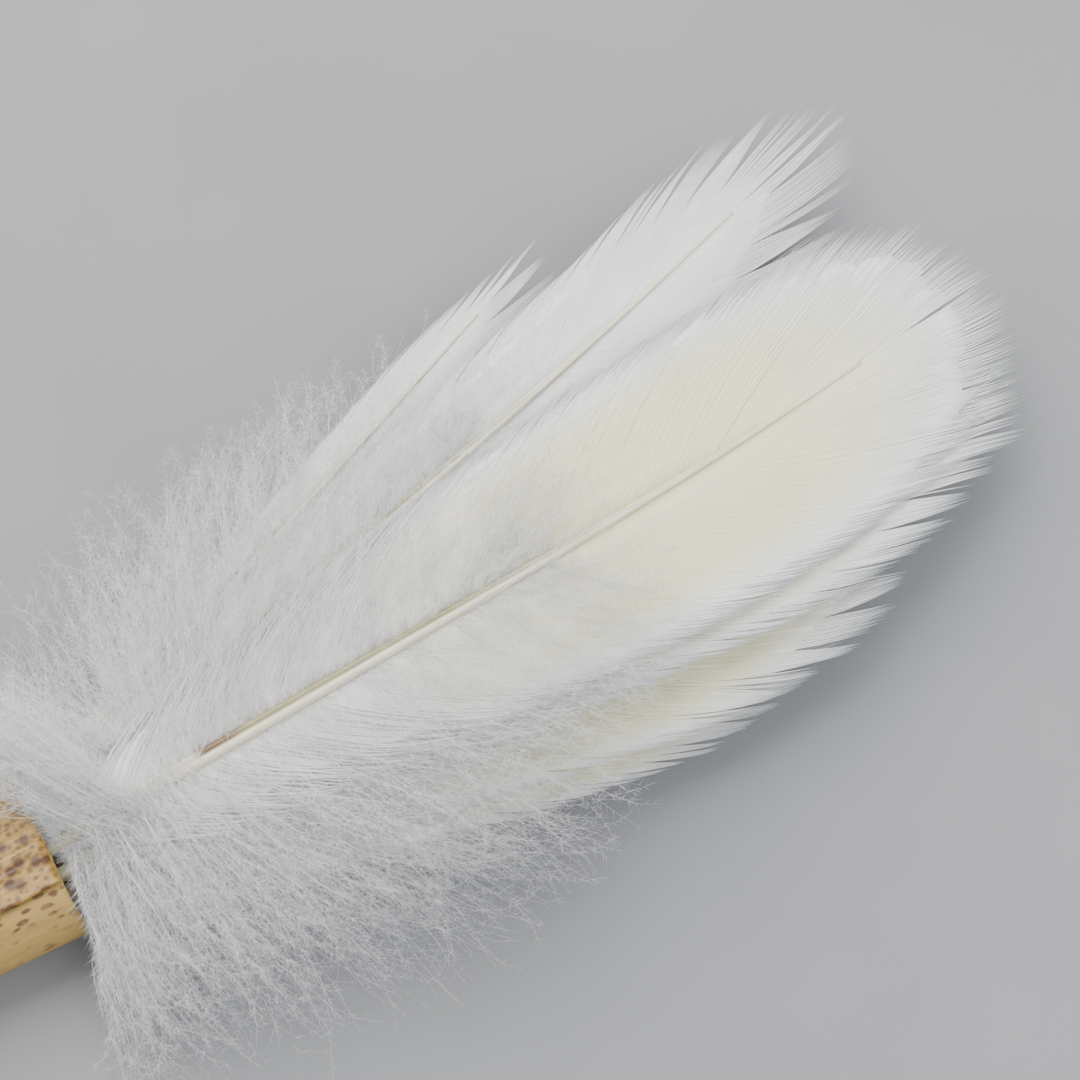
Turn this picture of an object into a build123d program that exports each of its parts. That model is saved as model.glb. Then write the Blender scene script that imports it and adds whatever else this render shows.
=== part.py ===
from build123d import *
import os
from dataclasses import dataclass

# A hand feather brush: seven white body feathers bound to a wooden core and wrapped in a bamboo sheath.
#
# The frame is right-handed with +X from the handle's tail to the feather tips, +Y to the brush's left and
# +Z up. The origin is the middle of the handle's flat underside, on which the brush lies. All sizes are in
# millimetres.
#
# The feathers lie on each other in seven layers. Every layer is the same long arch, turned a little about
# an axis far below the brush, so that it is also arched across. Layers differ only in height, by a spacing
# that depends on the distance from the mouth, so feathers that cross in plan never meet.

# Handle, a flat oval that widens towards the mouth
handle_length = 120.0
mouth_width = 27.0
tail_width = 21.0
handle_thickness = 14.0
outer_wrap_thickness = 0.6
inner_wrap_thickness = 0.6
fit_gap = 0.05

# Lengthwise edge of the outer wrap, seen from above: its distance from the middle at the mouth, and its slant
wrap_edge_at_mouth = 6.4
wrap_edge_slant = 0.02
wrap_edge_height = 1.6

# Two whippings of cord, each drawn into a waist
cord_diameter = 0.9
cord_turns = 5
turn_gap = 0.03
cord_sink = 0.1
waist_shoulder = 0.6
waist_ramp = 1.6
front_binding_from_mouth = 34.0
rear_binding_from_tail = 16.0

# Quills, core and what binds them, inside the handle. The rounding is a share of the quill's diameter, and
# the spigot is rooted that far in the core's block.
quill_diameter = 2.2
quill_length = 26.0
quill_recess = 2.0
quill_end_rounding = 0.45
spigot_diameter = 3.2
spigot_recess = 3.0
spigot_root = 1.0
thread_thickness = 0.45
thread_band_width = 4.0
front_thread_from_mouth = 9.0
rear_thread_from_mouth = 20.0
packing_wall = 0.35

# How far the solids that only cut or limit others reach past them
beyond = 300.0

# Feather layers
arch_radius_across = 260.0
arch_half_turn = 16.0
vane_thickness = 0.5
down_layer_gap = 0.4
shaft_clearance = 0.5
shaft_tip_thickness = 0.5
shaft_width = 2.2
shaft_tip_width = 0.5
shaft_reach = 0.83
side_gap = 0.1

# The shafts and the down start just outside the mouth
shaft_start_from_mouth = 1.2
down_start = 10.0


@dataclass(frozen=True)
class Feather:
    """One feather.

    layer counts from the bottom, place is where its quill lies across the handle from -1 at the right to 1 at
    the left, and yaw is its turn to the left in degrees. Adjoining layers never hold adjoining places, so that
    the quills pass each other.
    """

    name: str
    layer: int
    place: float
    yaw: float
    length: float
    vane_half_width: float
    down_half_width: float


feathers = (
    Feather("top", 6, -0.15, 4.8, 149.0, 20.0, 30.0),
    Feather("right", 5, -0.55, 0.8, 146.0, 16.0, 30.0),
    Feather("left", 4, 0.45, 15.6, 145.0, 14.0, 26.0),
    Feather("lower_right", 3, -0.78, -5.8, 120.0, 12.0, 29.0),
    Feather("far_left", 2, 0.8, 21.8, 105.0, 10.0, 17.0),
    Feather("far_right", 1, -1.0, -7.6, 109.0, 10.0, 26.0),
    Feather("back", 0, 0.22, 10.0, 138.0, 17.0, 29.0),
)

middle_layer = (len(feathers) - 1) / 2
mouth_x = handle_length / 2
tail_x = -handle_length / 2
middle_z = handle_thickness / 2
core_front_x = mouth_x - quill_recess - quill_length
cavity_inset = outer_wrap_thickness + inner_wrap_thickness + 2 * fit_gap
quills_inset = cavity_inset + packing_wall + thread_thickness + fit_gap
quill_spacing = (handle_thickness - 2 * quills_inset - quill_diameter) / (len(feathers) - 1)
shaft_thickness = 2 * quill_spacing - shaft_clearance

# The middle layer's rise over the handle's middle and the spacing of the layers, at distances from the mouth
arch_distances = (0.0, 10.0, 30.0, 55.0, 80.0, 110.0, 155.0)
arch_rise = (0.0, 1.6, 4.6, 6.6, 6.2, 4.2, 0.6)
layer_spacing = (quill_spacing, 1.9, 2.5, 2.8, 2.4, 1.6, 0.8)

# Outline of a vane and of its down: share of the feather's length, and share of the half width
vane_outline = ((0.05, 0.16), (0.2, 0.34), (0.4, 0.62), (0.58, 0.9), (0.74, 1.0), (0.87, 0.86), (0.96, 0.48))
down_outline = ((0.0, 0.5), (0.1, 0.86), (0.28, 1.0), (0.48, 0.98), (0.66, 0.78), (0.78, 0.5))
down_end_share = 0.66


def handle_width(x):
    """Width of the handle at x, before any waist."""
    return tail_width + (mouth_width - tail_width) * (x - tail_x) / handle_length


def binding_centres():
    """Where along the handle the two whippings are."""
    return (mouth_x - front_binding_from_mouth, tail_x + rear_binding_from_tail)


def waist_half_length():
    """Half the length of a waist's floor: its turns of cord and a shoulder at each end."""
    return cord_turns * (cord_diameter + turn_gap) / 2 + waist_shoulder


def handle_solid(inset, front_x=None):
    """The handle's outer form taken in by inset all round, from the tail to front_x, with its two waists."""
    front_x = mouth_x if front_x is None else front_x
    depth = cord_diameter + cord_sink
    stations = [(tail_x, 0.0), (mouth_x, 0.0)]
    for centre in binding_centres():
        floor = waist_half_length()
        stations += [(centre - floor - waist_ramp, 0.0), (centre - floor, depth)]
        stations += [(centre + floor, depth), (centre + floor + waist_ramp, 0.0)]
    sections = [oval_face(x, inset + waist) for x, waist in sorted(stations)]
    whole = loft(sections, ruled=True)
    if front_x >= mouth_x:
        return whole
    return whole & slab_between(tail_x, front_x)


def across_plane(x, y=0.0, z=middle_z):
    """A plane across the handle at x that faces the feathers, its own X to the brush's left."""
    return Plane(origin=(x, y, z), x_dir=(0, 1, 0), z_dir=(1, 0, 0))


def oval_face(x, inset):
    """The handle's oval section at x, taken in by inset."""
    return across_plane(x) * SlotOverall(handle_width(x) - 2 * inset, handle_thickness - 2 * inset)


def slab_between(low_x, high_x):
    """A block over the whole height and width of the brush, between two stations along it."""
    return Pos((low_x + high_x) / 2, 0, 0) * Box(high_x - low_x, beyond, beyond)


def make_outer_sheath():
    """The spotted outer wrap, open along the brush's right side where the inner wrap shows."""
    wall = handle_solid(0.0) - handle_solid(outer_wrap_thickness)
    rise = wrap_edge_slant * beyond
    corners = (
        (mouth_x - beyond, -wrap_edge_at_mouth - rise),
        (mouth_x + beyond, -wrap_edge_at_mouth + rise),
        (mouth_x + beyond, -beyond),
        (mouth_x - beyond, -beyond),
    )
    opening = Pos(0, 0, wrap_edge_height) * extrude(make_face(Polyline(*corners, close=True)), beyond)
    return wall - opening


def make_inner_sheath():
    """The plain inner wrap, a closed tube."""
    outer = handle_solid(outer_wrap_thickness + fit_gap)
    return outer - handle_solid(outer_wrap_thickness + fit_gap + inner_wrap_thickness)


def quills_half_width():
    """Half the inner width of the threads round the quills, set by the handle's width at the rear one."""
    rear_edge = mouth_x - rear_thread_from_mouth - thread_band_width / 2
    return handle_width(rear_edge) / 2 - quills_inset


def root_offset(feather):
    """How far to the left of the handle's middle a feather's quill lies."""
    return feather.place * (quills_half_width() - quill_diameter)


def make_core():
    """The wooden core: a block that fills the sheath up to the quills, and a round spigot between them."""
    block = handle_solid(cavity_inset, core_front_x - fit_gap)
    spigot_length = mouth_x - spigot_recess - core_front_x
    return block + spigot_rod(spigot_diameter / 2, spigot_length)


def spigot_rod(radius, length):
    """A rod where the core's spigot is, rooted in the core's block."""
    return extrude(across_plane(core_front_x - spigot_root) * Circle(radius), spigot_root + length)


def quill_height(feather):
    """Height of a feather's quill in the handle."""
    return middle_z + (feather.layer - middle_layer) * quill_spacing


def make_quill(feather, grow=0.0):
    """The bare quill of a feather, straight along the handle, with a rounded tail."""
    radius = quill_diameter / 2
    plane = across_plane(core_front_x, root_offset(feather), quill_height(feather))
    quill = extrude(plane * Circle(radius + grow), quill_length)
    if grow:
        return quill
    tail_edge = quill.edges().filter_by(GeomType.CIRCLE).sort_by(Axis.X)[0]
    return fillet(tail_edge, quill_end_rounding * quill_diameter)


def thread_band(centre_x, grow=0.0):
    """A whipping of thread round the quills, as one wound band. grow thickens it on both sides."""
    width = 2 * (quills_half_width() + fit_gap - grow)
    height = handle_thickness - 2 * (quills_inset - fit_gap + grow)
    wall = thread_thickness + 2 * grow
    length = thread_band_width + 2 * grow
    plane = across_plane(centre_x - length / 2)
    outer = extrude(plane * SlotOverall(width + 2 * wall, height + 2 * wall), length)
    return outer - extrude(plane * SlotOverall(width, height), length)


def make_packing():
    """Paper packing round the quills, filling the sheath's front."""
    filling = handle_solid(cavity_inset) & slab_between(core_front_x, mouth_x - spigot_recess - fit_gap)
    filling -= spigot_rod(spigot_diameter / 2 + fit_gap, mouth_x - core_front_x)
    for feather in feathers:
        filling -= make_quill(feather, grow=fit_gap)
    for distance in (front_thread_from_mouth, rear_thread_from_mouth):
        filling -= thread_band(mouth_x - distance, grow=fit_gap / 2)
    return filling


def make_binding(centre_x):
    """One whipping of cord: closed turns side by side, each sunk into the waist."""
    turns = []
    pitch = cord_diameter + turn_gap
    for i in range(cord_turns):
        x = centre_x + (i - (cord_turns - 1) / 2) * pitch
        inset = cord_sink + cord_diameter / 2 - fit_gap / 2
        height = handle_thickness - 2 * inset
        path = across_plane(x) * SlotOverall(handle_width(x) - 2 * inset, height).wire()
        start = Plane(origin=(x, 0, middle_z + height / 2), x_dir=(1, 0, 0), z_dir=(0, 1, 0))
        radius = (cord_diameter - fit_gap) / 2
        turns.append(sweep(start * Circle(radius), path=path))
    return Compound(children=[turn.solid() for turn in turns])


def layer_slab(layer, thicknesses):
    """The space of one layer: its lengthwise section turned about the far axis below the brush.

    thicknesses are the layer's thicknesses at arch_distances.
    """
    upper, lower = [], []
    for distance, rise, spacing, thickness in zip(arch_distances, arch_rise, layer_spacing, thicknesses):
        z = middle_z + rise + (layer - middle_layer) * spacing
        upper.append((mouth_x + distance, 0, z + thickness / 2))
        lower.append((mouth_x + distance, 0, z - thickness / 2))
    outline = Spline(*upper) + Line(upper[-1], lower[-1]) + Spline(*lower[::-1]) + Line(lower[0], upper[0])
    axis = Axis((0, 0, -arch_radius_across), (1, 0, 0))
    return revolve(make_face(outline).rotate(axis, -arch_half_turn), axis, revolution_arc=2 * arch_half_turn)


def outline_prism(feather, points):
    """A tall prism over a plan outline, given in the feather's own place and direction."""
    spline = Spline(*points)
    return root_location(feather) * extrude(make_face(spline + Line(spline @ 1, spline @ 0)), beyond, both=True)


def root_location(feather):
    """The feather's root at the mouth and its direction."""
    return Location((mouth_x, root_offset(feather), 0), (0, 0, feather.yaw))


def mirrored(points, tip=None):
    """A plan outline from one side's points: that side, the tip if there is one, and the other side back."""
    middle = [tip] if tip else []
    return [*points, *middle, *((x, -y) for x, y in reversed(points))]


def vane_prism(feather, grow=0.0):
    """Plan shape of a feather's vane."""
    side = [(x * feather.length, y * feather.vane_half_width + grow) for x, y in vane_outline]
    return outline_prism(feather, mirrored(side, tip=(feather.length + grow, 0)))


def down_prism(feather):
    """Plan shape of a feather's down, over the lower part of the vane."""
    reach = down_end_share * feather.length / down_outline[-1][0]
    side = [(down_start + x * (reach - down_start), y * feather.down_half_width) for x, y in down_outline]
    return outline_prism(feather, mirrored(side))


def shaft_prism(feather, grow=0.0):
    """Plan shape of a feather's shaft, tapering to its tip."""
    end = shaft_reach * feather.length
    root, tip = shaft_width / 2 + grow, shaft_tip_width / 2 + grow
    corners = ((shaft_start_from_mouth, -root), (end + grow, -tip), (end + grow, tip), (shaft_start_from_mouth, root))
    return root_location(feather) * extrude(make_face(Polyline(*corners, close=True)), beyond, both=True)


def shaft_thicknesses():
    """A shaft's thickness at arch_distances: it tapers evenly to the tip of the longest shaft."""
    longest = shaft_reach * max(f.length for f in feathers)
    shares = [min(distance / longest, 1.0) for distance in arch_distances]
    return [shaft_thickness + (shaft_tip_thickness - shaft_thickness) * share for share in shares]


def make_shaft(feather):
    """The shaft outside the handle, which follows its layer."""
    return shaft_prism(feather) & layer_slab(feather.layer, shaft_thicknesses())


def make_vane(feather):
    """The closed, flat part of a feather on both sides of its shaft, joined beyond the shaft's tip."""
    slab = layer_slab(feather.layer, [vane_thickness] * len(arch_distances))
    return (vane_prism(feather) & slab) - shaft_prism(feather, grow=fit_gap)


def make_down(feather):
    """The loose down on both sides of the vane's lower part, as two closed pads that fill their layer."""
    slab = layer_slab(feather.layer, [spacing - down_layer_gap for spacing in layer_spacing])
    pads = (down_prism(feather) - vane_prism(feather, grow=side_gap)) & slab
    pads -= shaft_prism(feather, grow=side_gap)
    return Compound(children=pads.solids())


def build_all():
    """Every node of the brush by name."""
    front, rear = binding_centres()
    nodes = {
        "outer_sheath": make_outer_sheath(),
        "inner_sheath": make_inner_sheath(),
        "handle_core": make_core(),
        "paper_packing": make_packing(),
        "front_binding": make_binding(front),
        "rear_binding": make_binding(rear),
        "quill_thread_front": thread_band(mouth_x - front_thread_from_mouth),
        "quill_thread_rear": thread_band(mouth_x - rear_thread_from_mouth),
    }
    for feather in feathers:
        nodes[f"{feather.name}_feather_quill"] = make_quill(feather)
        nodes[f"{feather.name}_feather_shaft"] = make_shaft(feather)
        nodes[f"{feather.name}_feather_vane"] = make_vane(feather)
        nodes[f"{feather.name}_feather_down"] = make_down(feather)
    return nodes


os.makedirs("parts", exist_ok=True)
for node_name, shape in build_all().items():
    export_step(shape, f"parts/{node_name}.step")
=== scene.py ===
import logging
import math
from dataclasses import dataclass
from enum import Enum

import bpy
import numpy as np
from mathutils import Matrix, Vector


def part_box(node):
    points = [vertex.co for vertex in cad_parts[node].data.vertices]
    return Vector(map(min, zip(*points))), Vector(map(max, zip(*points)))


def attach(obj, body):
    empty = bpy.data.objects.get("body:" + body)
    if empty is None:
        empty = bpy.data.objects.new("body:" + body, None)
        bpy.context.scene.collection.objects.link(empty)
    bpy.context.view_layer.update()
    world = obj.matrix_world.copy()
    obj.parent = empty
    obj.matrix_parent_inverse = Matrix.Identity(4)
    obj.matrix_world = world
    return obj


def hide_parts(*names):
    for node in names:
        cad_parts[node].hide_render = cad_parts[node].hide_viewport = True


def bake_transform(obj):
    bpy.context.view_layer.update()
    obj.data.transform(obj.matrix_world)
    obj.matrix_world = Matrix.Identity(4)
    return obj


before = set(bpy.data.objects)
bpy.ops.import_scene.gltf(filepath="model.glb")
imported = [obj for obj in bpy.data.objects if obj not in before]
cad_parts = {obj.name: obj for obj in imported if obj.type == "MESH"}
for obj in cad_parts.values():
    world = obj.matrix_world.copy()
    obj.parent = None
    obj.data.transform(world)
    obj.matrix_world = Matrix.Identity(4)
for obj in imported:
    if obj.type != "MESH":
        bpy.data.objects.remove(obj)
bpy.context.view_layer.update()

# Dresses the feather hand brush: feathers barb by barb, loose down, bamboo sheath and cord bindings.
#
# Lengths are in metres and angles in degrees unless a name says otherwise. Feather shapes are worked out in
# each feather's own plan: s runs along its shaft from the handle's mouth, t runs to its left.

Array = np.ndarray
MM = 0.001
STRAND_MAP = "OFBake"
FLOOR_CLEARANCE = 0.4 * MM
TAIL_WIDTH = 21.0 * MM
BLACK = (0.0, 0.0, 0.0)
WHITE = (1.0, 1.0, 1.0)
log = logging.getLogger("feather_brush")


class Side(Enum):
    """The two sides of a feather, by the sign of t."""

    RIGHT = -1
    LEFT = 1


class Plumage(Enum):
    """How much of a feather shows, as barbs on each side, strands of down and barbules on each strand."""

    OPEN = (420, 1040, 54)
    HALF_HIDDEN = (260, 560, 32)
    HIDDEN = (180, 320, 18)


# ---------------------------------------------------------------------------------------------------------
# Curves and meshes


def smooth_step(x: Array, low: float = 0.0, high: float = 1.0) -> Array:
    """Rises from 0 at low to 1 at high with level ends: 3 w^2 - 2 w^3 of the clipped share w.

    Args:
        x: values to ease.
        low: where the rise starts.
        high: where it ends.

    Returns:
        The eased values.
    """
    w = np.clip((np.asarray(x, float) - low) / (high - low), 0.0, 1.0)
    return w * w * (3.0 - 2.0 * w)


def through_points(xs: tuple[float, ...], ys: tuple[float, ...], x: Array) -> Array:
    """A smooth curve through points: on each span a cubic with slopes from the neighbouring points.

    Args:
        xs: rising positions.
        ys: values at them.
        x: where to read the curve; held at its end values outside.

    Returns:
        The curve's values at x.
    """
    px, py = np.asarray(xs, float), np.asarray(ys, float)
    slope = np.gradient(py, px)
    x = np.clip(x, px[0], px[-1])
    i = np.clip(np.searchsorted(px, x, side="right") - 1, 0, len(px) - 2)
    span = px[i + 1] - px[i]
    w = (x - px[i]) / span
    start, end = (1 + 2 * w) * (1 - w) ** 2, w * w * (3 - 2 * w)
    rise = span * (slope[i] * w * (1 - w) ** 2 + slope[i + 1] * w * w * (w - 1))
    return start * py[i] + end * py[i + 1] + rise


def unit(v: Array) -> Array:
    """Vectors scaled to length 1 along their last axis."""
    return v / np.maximum(np.linalg.norm(v, axis=-1, keepdims=True), 1e-12)


class MeshBuilder:
    """Gathers closed pieces of mesh, worked out as whole arrays, and makes one Blender object of them."""

    def __init__(self) -> None:
        """Starts with no vertices and no faces."""
        self.points: list[Array] = []
        self.uvs: list[Array] = []
        self.quads: list[Array] = []
        self.tris: list[Array] = []
        self.count = 0

    def _add(self, points: Array, uv: Array) -> int:
        """Takes vertices and their places on the strand map, and returns the first one's number."""
        first = self.count
        self.points.append(points.reshape(-1, 3))
        self.uvs.append(uv.reshape(-1, 2))
        self.count += points.reshape(-1, 3).shape[0]
        return first

    def add_strands(
        self, path: Array, across: Array, width: Array, height: Array, uv: Array, sides: int
    ) -> None:
        """Adds closed tapered strands with an oval section.

        At each ring a point is path + across * width * cos a + up * height * sin a, where up is the tangent
        crossed with across and a goes round in equal steps. Each end is closed by a fan on one vertex.

        Args:
            path: middle line of each strand, shape (strands, rings, 3).
            across: direction of each section's width, same shape.
            width: half widths, shape (strands, rings).
            height: half heights, same shape.
            uv: place on the strand map of each ring, shape (strands, rings, 2).
            sides: vertices in a ring.
        """
        n, m, _ = path.shape
        tangent = unit(np.gradient(path, axis=1))
        across = unit(across - tangent * np.sum(across * tangent, axis=-1, keepdims=True))
        up = np.cross(tangent, across)
        a = np.arange(sides) * 2 * np.pi / sides
        ring = (
            path[:, :, None]
            + across[:, :, None] * (width[:, :, None] * np.cos(a))[..., None]
            + up[:, :, None] * (height[:, :, None] * np.sin(a))[..., None]
        )
        points = np.concatenate([path[:, :1], ring.reshape(n, m * sides, 3), path[:, -1:]], axis=1)
        ring_uv = np.repeat(uv[:, :, None], sides, axis=2).reshape(n, m * sides, 2)
        first = self._add(points, np.concatenate([uv[:, :1], ring_uv, uv[:, -1:]], axis=1))
        start = first + np.arange(n)[:, None, None] * (m * sides + 2)
        j = np.arange(sides)[None, None, :]
        k = (j + 1) % sides
        row = start + 1 + np.arange(m - 1)[None, :, None] * sides
        faces = np.stack([row + j, row + k, row + sides + k, row + sides + j], axis=-1)
        self.quads.append(faces.reshape(-1, 4))
        low, last = start + 1, start + 1 + (m - 1) * sides
        zero = np.zeros_like(low + j)
        self.tris.append(np.stack([start + zero, low + k, low + j], axis=-1).reshape(-1, 3))
        self.tris.append(np.stack([start + 1 + m * sides + zero, last + j, last + k], axis=-1).reshape(-1, 3))

    def add_spikes(self, root: Array, direction: Array, length: Array, radius: float, uv: Array) -> None:
        """Adds thin three-sided spikes, each a closed form of four faces.

        The base is three points round the root at equal angles, and the fourth is root + direction * length.

        Args:
            root: where each spike starts, shape (spikes, 3).
            direction: unit vectors, same shape.
            length: shape (spikes,).
            radius: of the base.
            uv: shape (spikes, 2).
        """
        n = root.shape[0]
        helper = np.where(np.abs(direction[:, 2:]) > 0.9, [[1.0, 0.0, 0.0]], [[0.0, 0.0, 1.0]])
        side = unit(np.cross(direction, helper))
        other = np.cross(direction, side)
        a = np.arange(3) * 2 * np.pi / 3
        base = root[:, None] + radius * (
            side[:, None] * np.cos(a)[None, :, None] + other[:, None] * np.sin(a)[None, :, None]
        )
        tip = root + direction * length[:, None]
        first = self._add(np.concatenate([base, tip[:, None]], axis=1), np.repeat(uv[:, None], 4, axis=1))
        start = first + 4 * np.arange(n)[:, None]
        faces = np.array([[0, 1, 3], [1, 2, 3], [2, 0, 3], [2, 1, 0]])
        self.tris.append((start[:, None] + faces[None]).reshape(-1, 3))

    def add_loop_sheet(self, rows: Array, uv: Array) -> None:
        """Adds a closed form from cross-section loops, each loop joined to the next and both ends capped.

        A cap is a strip of quads across the loop: points i and i + 1 join the same two counted from its end,
        which also closes the end of a bent sheet without filling the room that it goes round.

        Args:
            rows: loops of points in order, shape (loops, points, 3), the points even in number. Each goes round
                so that it turns left-handed about the direction in which the loops follow each other.
            uv: shape (loops, points, 2).
        """
        m, k, _ = rows.shape
        first = self._add(rows, uv)
        row = first + np.arange(m - 1)[:, None] * k
        j = np.arange(k)[None, :]
        n = (j + 1) % k
        self.quads.append(np.stack([row + j, row + k + j, row + k + n, row + n], axis=-1).reshape(-1, 4))
        i = np.arange(k // 2 - 1)
        cap = np.stack([i, i + 1, k - 2 - i, k - 1 - i], axis=-1)
        self.quads.append(first + cap)
        self.quads.append(first + (m - 1) * k + cap[:, ::-1])

    def to_object(self, name: str, material: bpy.types.Material, smooth: bool = True) -> bpy.types.Object:
        """Makes the object, at the origin, with its strand map and its material.

        Args:
            name: of the object and its mesh.
            material: for all its faces.
            smooth: whether faces are shaded as one surface.

        Returns:
            The new object, linked into the scene.
        """
        points = np.concatenate(self.points)
        uv = np.concatenate(self.uvs)
        quads = np.concatenate(self.quads) if self.quads else np.zeros((0, 4), int)
        tris = np.concatenate(self.tris) if self.tris else np.zeros((0, 3), int)
        corners = np.concatenate([quads.ravel(), tris.ravel()]).astype(np.int32)
        sizes = np.concatenate([np.full(len(quads), 4), np.full(len(tris), 3)])
        mesh = bpy.data.meshes.new(name)
        mesh.vertices.add(len(points))
        mesh.vertices.foreach_set("co", points.astype(np.float32).ravel())
        mesh.loops.add(len(corners))
        mesh.loops.foreach_set("vertex_index", corners)
        mesh.polygons.add(len(sizes))
        mesh.polygons.foreach_set("loop_start", (np.cumsum(sizes) - sizes).astype(np.int32))
        mesh.polygons.foreach_set("use_smooth", np.full(len(sizes), smooth))
        layer = mesh.uv_layers.new(name=STRAND_MAP)
        layer.data.foreach_set("uv", uv[corners].astype(np.float32).ravel())
        mesh.update(calc_edges=True)
        mesh.validate()
        mesh.materials.append(material)
        made = bpy.data.objects.new(name, mesh)
        bpy.context.scene.collection.objects.link(made)
        log.info("%s: %d triangles", name, 2 * len(quads) + len(tris))
        return made


# ---------------------------------------------------------------------------------------------------------
# Finishes


class Nodes:
    """Builds one material's or one group's nodes in a row, with short calls."""

    def __init__(self, tree: bpy.types.NodeTree) -> None:
        """Works in the given tree."""
        self.tree = tree

    def add(self, kind: str, **values: object) -> bpy.types.Node:
        """Adds a node, with settings given by name and input values given as in_NAME or in_NUMBER."""
        node = self.tree.nodes.new(kind)
        for key, value in values.items():
            if key.startswith("in_"):
                name = key[3:]
                node.inputs[int(name) if name.isdigit() else name.replace("_", " ")].default_value = value
            else:
                setattr(node, key, value)
        return node

    def link(self, out: bpy.types.NodeSocket, to: bpy.types.NodeSocket) -> None:
        """Joins an output to an input."""
        self.tree.links.new(out, to)

    def ramp(self, factor: bpy.types.NodeSocket, stops: list[tuple[float, tuple]]) -> bpy.types.NodeSocket:
        """A colour ramp over factor with the given stops, each a position and a colour."""
        node = self.add("ShaderNodeValToRGB")
        elements = node.color_ramp.elements
        while len(elements) < len(stops):
            elements.new(0.5)
        for element, (position, color) in zip(elements, stops):
            element.position = position
            element.color = (*color, 1.0)
        self.link(factor, node.inputs["Fac"])
        return node.outputs["Color"]

    def mix(self, factor: object, a: object, b: object, way: str = "MIX") -> bpy.types.NodeSocket:
        """Mixes two colours by factor; each of the three is a socket or a value."""
        node = self.add("ShaderNodeMix", data_type="RGBA", blend_type=way)
        for value, name in ((factor, "Factor_Float"), (a, "A_Color"), (b, "B_Color")):
            socket = next(s for s in node.inputs if s.identifier == name)
            if isinstance(value, bpy.types.NodeSocket):
                self.link(value, socket)
            else:
                socket.default_value = value if name == "Factor_Float" else (*value, 1.0)
        return next(s for s in node.outputs if s.identifier == "Result_Color")

    def math(self, way: str, a: object, b: object = 0.0) -> bpy.types.NodeSocket:
        """A Math node of the given operation on two sockets or values."""
        node = self.add("ShaderNodeMath", operation=way)
        for value, socket in zip((a, b), node.inputs):
            if isinstance(value, bpy.types.NodeSocket):
                self.link(value, socket)
            else:
                socket.default_value = value
        return node.outputs[0]


def effect_group(name: str, inputs: dict[str, float], outputs: tuple[str, ...]) -> tuple[Nodes, dict, dict]:
    """Starts a shader node group with a Vector input, float inputs and float outputs.

    Args:
        name: of the group.
        inputs: float inputs and their defaults.
        outputs: names of the float outputs.

    Returns:
        The group's nodes, its input sockets by name and its output sockets by name.
    """
    tree = bpy.data.node_groups.new(name, "ShaderNodeTree")
    tree.interface.new_socket(name="Vector", in_out="INPUT", socket_type="NodeSocketVector")
    for key, value in inputs.items():
        socket = tree.interface.new_socket(name=key, in_out="INPUT", socket_type="NodeSocketFloat")
        socket.default_value = value
    for key in outputs:
        tree.interface.new_socket(name=key, in_out="OUTPUT", socket_type="NodeSocketFloat")
    nodes = Nodes(tree)
    enter, leave = nodes.add("NodeGroupInput"), nodes.add("NodeGroupOutput")
    return nodes, {s.name: s for s in enter.outputs}, {s.name: s for s in leave.inputs}


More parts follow.
